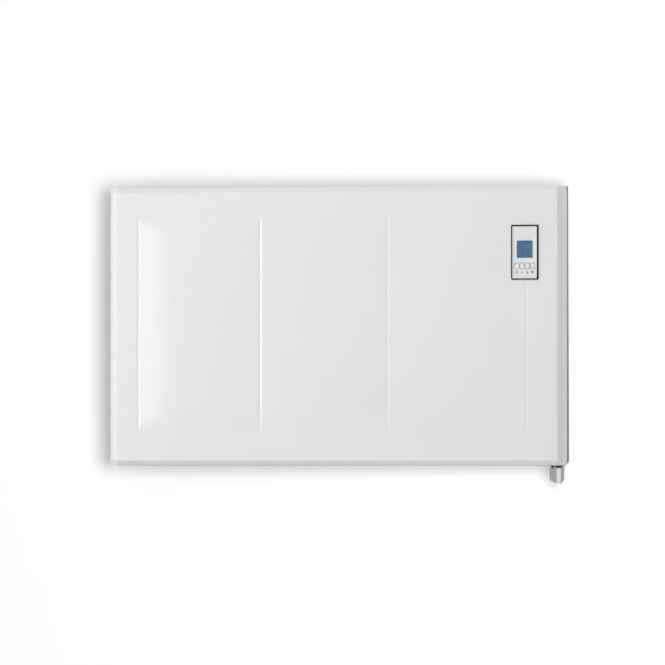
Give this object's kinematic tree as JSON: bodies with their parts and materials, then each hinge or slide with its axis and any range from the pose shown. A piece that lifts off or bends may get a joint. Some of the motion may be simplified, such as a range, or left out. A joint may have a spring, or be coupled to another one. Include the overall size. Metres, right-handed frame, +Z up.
{
  "type": "panel heater",
  "caption": "Wall-hung electric panel heater with a pressed steel front, a push-button control module and a wall bracket.",
  "frame": {"origin": "middle of the wall bracket's four fixing holes, on the face of the wall", "axes": "+X to the viewer's right, +Y into the wall, +Z up; the heater stands out from the wall along -Y"},
  "size_m": [0.7658, 0.0885, 0.4809],
  "materials": {
    "panel_paint": "satin powder coat",
    "casing_steel": "satin dark grey",
    "bracket_steel": "galvanised",
    "inner_steel": "galvanised",
    "fasteners": "zinc plated",
    "reflector_metal": "bright",
    "element_metal": "mill finish",
    "rod_sheath": "heat darkened",
    "brass": "plain",
    "ceramic": "unglazed ceramic",
    "rubber": "matt",
    "lead_sleeve": "woven glass sleeve",
    "dark_plastic": "moulded",
    "box_plastic": "moulded",
    "bezel_plastic": "fine satin",
    "fascia_plastic": "printed film",
    "button_plastic": "fine satin",
    "window": "clear",
    "display": "back-lit liquid crystal",
    "circuit_board": "solder resist",
    "terminal_plastic": "moulded",
    "sensor_plastic": "moulded"
  },
  "bodies": {
    "bracket": {"bracket_upright_left": "bracket_steel", "bracket_upright_right": "bracket_steel", "bracket_rail_top": "bracket_steel", "bracket_rail_bottom": "bracket_steel", "bracket_rivets": "fasteners"},
    "heater": {"front_panel": "panel_paint", "rear_cover": "casing_steel", "case_screws": "fasteners", "partition": "inner_steel", "reflector": "reflector_metal", "element_body": "element_metal", "heating_rod": "rod_sheath", "terminal_tabs": "brass", "element_bush_left": "ceramic", "element_bush_right": "ceramic", "element_support_left": "inner_steel", "element_support_right": "inner_steel", "thermal_cutout": "dark_plastic", "cutout_clip": "inner_steel", "element_leads": "lead_sleeve", "lead_grommets": "rubber", "control_box": "box_plastic", "control_bezel": "bezel_plastic", "fascia": "fascia_plastic", "display_window": "window", "lcd_panel": "display", "control_board": "circuit_board", "tact_switches": "dark_plastic", "box_studs": "fasteners", "power_board": "circuit_board", "board_spacers": "bezel_plastic", "board_screws": "fasteners", "relay": "dark_plastic", "heatsink": "element_metal", "triac": "dark_plastic", "capacitor": "dark_plastic", "terminal_block": "terminal_plastic", "ribbon_cable": "lead_sleeve", "cable_gland": "rubber", "gland_nut": "dark_plastic", "sensor_housing": "sensor_plastic", "sensor_bead": "dark_plastic", "sensor_lead": "rubber"},
    "button_plus": {"button_plus": "button_plastic"},
    "button_minus": {"button_minus": "button_plastic"},
    "button_mode": {"button_mode": "button_plastic"},
    "button_menu": {"button_menu": "button_plastic"}
  },
  "joints": [
    {"name": "heater_lift", "type": "slide", "parent": "bracket", "child": "heater", "axis": [0, 0, 1], "range_m": [0, 0.012]},
    {"name": "button_plus_press", "type": "slide", "parent": "heater", "child": "button_plus", "axis": [0, 1, 0], "range_m": [0, 0.0008], "stiffness_N_per_m": 800},
    {"name": "button_minus_press", "type": "slide", "parent": "heater", "child": "button_minus", "axis": [0, 1, 0], "range_m": [0, 0.0008], "stiffness_N_per_m": 800},
    {"name": "button_mode_press", "type": "slide", "parent": "heater", "child": "button_mode", "axis": [0, 1, 0], "range_m": [0, 0.0008], "stiffness_N_per_m": 800},
    {"name": "button_menu_press", "type": "slide", "parent": "heater", "child": "button_menu", "axis": [0, 1, 0], "range_m": [0, 0.0008], "stiffness_N_per_m": 800}
  ]
}
